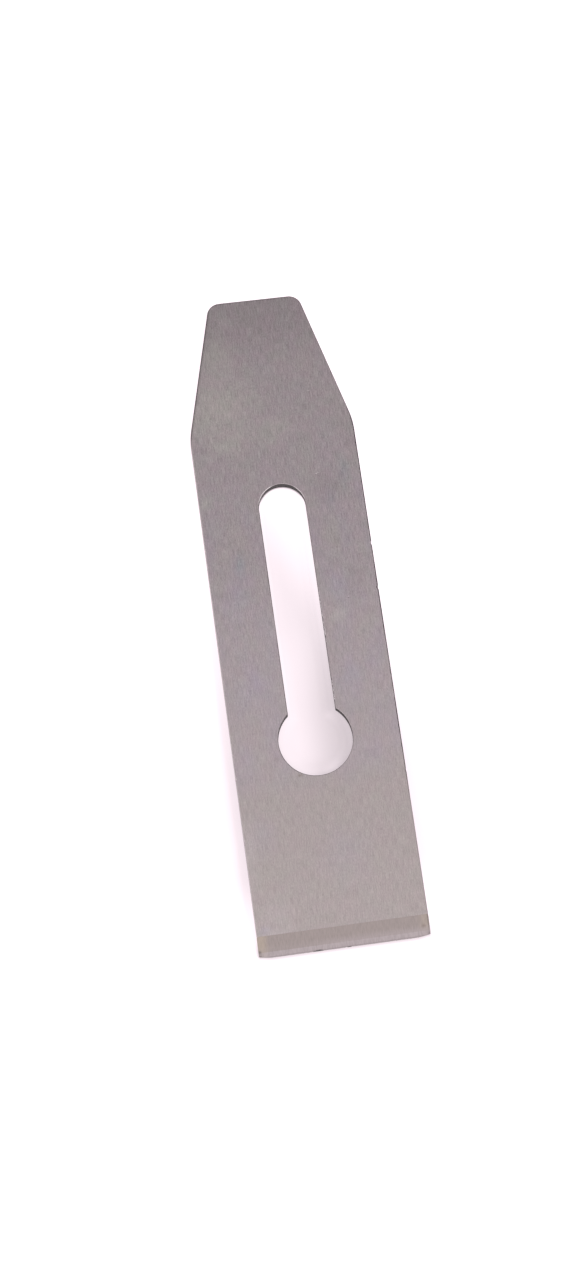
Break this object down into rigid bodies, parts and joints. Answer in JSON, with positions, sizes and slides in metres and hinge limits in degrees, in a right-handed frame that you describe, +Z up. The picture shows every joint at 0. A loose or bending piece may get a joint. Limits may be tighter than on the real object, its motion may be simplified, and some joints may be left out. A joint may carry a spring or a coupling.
{
  "type": "plane iron",
  "caption": "Flat steel cutting iron for a hand plane, with a tapered head, a keyhole slot for a cap iron's screw and a ground bevel.",
  "frame": {"origin": "on the flat back, midway along the blade and midway across it", "axes": "+Y from the cutting edge to the head, +X across the blade, +Z up from the flat back to the bevelled side"},
  "size_m": [0.05, 0.2021, 0.003],
  "materials": {
    "blade_steel": "ground grey steel with a fine grain along the blade"
  },
  "bodies": {
    "root": {"plane_iron": "blade_steel"}
  },
  "joints": []
}
